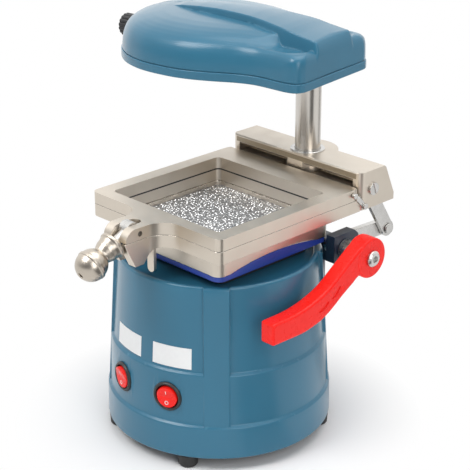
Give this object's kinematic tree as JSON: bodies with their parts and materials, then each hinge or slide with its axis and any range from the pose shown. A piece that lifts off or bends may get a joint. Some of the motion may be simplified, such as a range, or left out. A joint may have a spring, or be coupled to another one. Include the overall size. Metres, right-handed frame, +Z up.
{
  "type": "dental vacuum former",
  "caption": "Bench vacuum former: round blower base, shot tray, hinged square sheet frame with a front clamp on a column carriage, side lever and swinging heater head.",
  "frame": {"origin": "on the floor under the middle of the whole machine's box; the round base's axis stands 43.3 mm towards +X and 11 mm towards -Y of it, and the column's axis 97 mm behind the base's", "axes": "+Z up, -Y towards the front clamp, +X towards the lever side"},
  "size_m": [0.2873, 0.2888, 0.2992],
  "materials": {
    "blue_shell": "satin paint",
    "black_plastic": "matt",
    "rubber": "matt",
    "red_plastic": "gloss",
    "label_white": "satin",
    "silicone": "matt",
    "satin_alloy": "satin",
    "dark_metal": "satin paint",
    "steel": "brushed",
    "bright_alloy": "polished",
    "bronze": "machined",
    "heating_wire": "oxidised"
  },
  "bodies": {
    "base": {"base_housing": "blue_shell", "base_plate": "black_plastic", "feet": "rubber", "foot_screws": "steel", "motor": "steel", "fan_housing": "black_plastic", "vacuum_plenum": "black_plastic", "seal_pad": "silicone", "shot_tray": "satin_alloy", "shot_screen": "steel", "steel_shot": "steel", "rear_bracket": "dark_metal", "bracket_screws": "steel", "column": "steel", "heat_switch_body": "black_plastic", "vacuum_switch_body": "black_plastic", "heat_label": "label_white", "vacuum_label": "label_white", "cable_gland": "black_plastic"},
    "carriage": {"lower_frame": "satin_alloy", "carriage_block": "satin_alloy", "guide_bush": "bronze", "hinge_screws": "steel", "frame_leaf": "steel", "leaf_screw": "steel"},
    "hinged_frame": {"upper_frame": "satin_alloy", "clamp_pin": "steel", "catch_screw": "steel"},
    "bolt": {"clamp_bolt": "steel"},
    "knob": {"clamp_knob": "satin_alloy"},
    "lever": {"lever_handle": "red_plastic", "lever_shaft": "steel", "lever_bolt": "steel", "lever_spacers": "steel", "crank_arm": "steel", "crank_pin": "steel"},
    "link": {"lift_link": "steel"},
    "head": {"head_lower_shell": "blue_shell", "head_upper_shell": "blue_shell", "head_hub": "steel", "heater_reflector": "bright_alloy", "heater_coil": "heating_wire", "heater_guard": "steel", "guard_bars": "steel", "tip_knob": "black_plastic", "head_screws": "steel"},
    "heat_button": {"heat_rocker": "red_plastic"},
    "vacuum_button": {"vacuum_rocker": "red_plastic"},
    "fan": {"impeller": "bright_alloy"}
  },
  "joints": [
    {"name": "head_swing", "type": "hinge", "parent": "base", "child": "head", "pos_m": [0.0433, 0.086, 0.256], "axis": [0, 0, -1], "range_deg": [-82.7, 30]},
    {"name": "carriage_lift", "type": "slide", "parent": "base", "child": "carriage", "axis": [0, 0, 1], "range_m": [0, 0.0305]},
    {"name": "lever_turn", "type": "hinge", "parent": "base", "child": "lever", "pos_m": [0.0433, 0.0523, 0.1436], "axis": [1, 0, 0], "range_deg": [0, 28]},
    {"name": "link_swing", "type": "hinge", "parent": "lever", "child": "link", "pos_m": [0.0433, 0.11, 0.1415], "axis": [1, 0, 0], "range_deg": [-36, 0]},
    {"name": "frame_hinge", "type": "hinge", "parent": "carriage", "child": "hinged_frame", "pos_m": [0.0433, 0.0853, 0.182], "axis": [-1, 0, 0], "range_deg": [0, 17]},
    {"name": "bolt_swing", "type": "hinge", "parent": "hinged_frame", "child": "bolt", "pos_m": [0.0433, -0.098, 0.1817], "axis": [-1, 0, 0], "range_deg": [0, 100]},
    {"name": "knob_turn", "type": "hinge", "parent": "bolt", "child": "knob", "pos_m": [0.0433, -0.098, 0.1817], "axis": [0, -0.8988, -0.4384], "continuous": true},
    {"name": "heat_rock", "type": "hinge", "parent": "base", "child": "heat_button", "pos_m": [0.07111, -0.08952, 0.05655], "axis": [-0.9426, -0.3338, 0], "range_deg": [0, 14]},
    {"name": "vacuum_rock", "type": "hinge", "parent": "base", "child": "vacuum_button", "pos_m": [0.02527, -0.09233, 0.05655], "axis": [-0.9763, 0.2164, 0], "range_deg": [0, 14]},
    {"name": "fan_spin", "type": "hinge", "parent": "base", "child": "fan", "pos_m": [0.0433, -0.011, 0.08], "axis": [0, 0, 1], "continuous": true}
  ],
  "couplings": [
    {"joint": "lever_turn", "follows": "carriage_lift", "rad_per_m": 16.014},
    {"joint": "link_swing", "follows": "carriage_lift", "rad_per_m": -20.531}
  ]
}
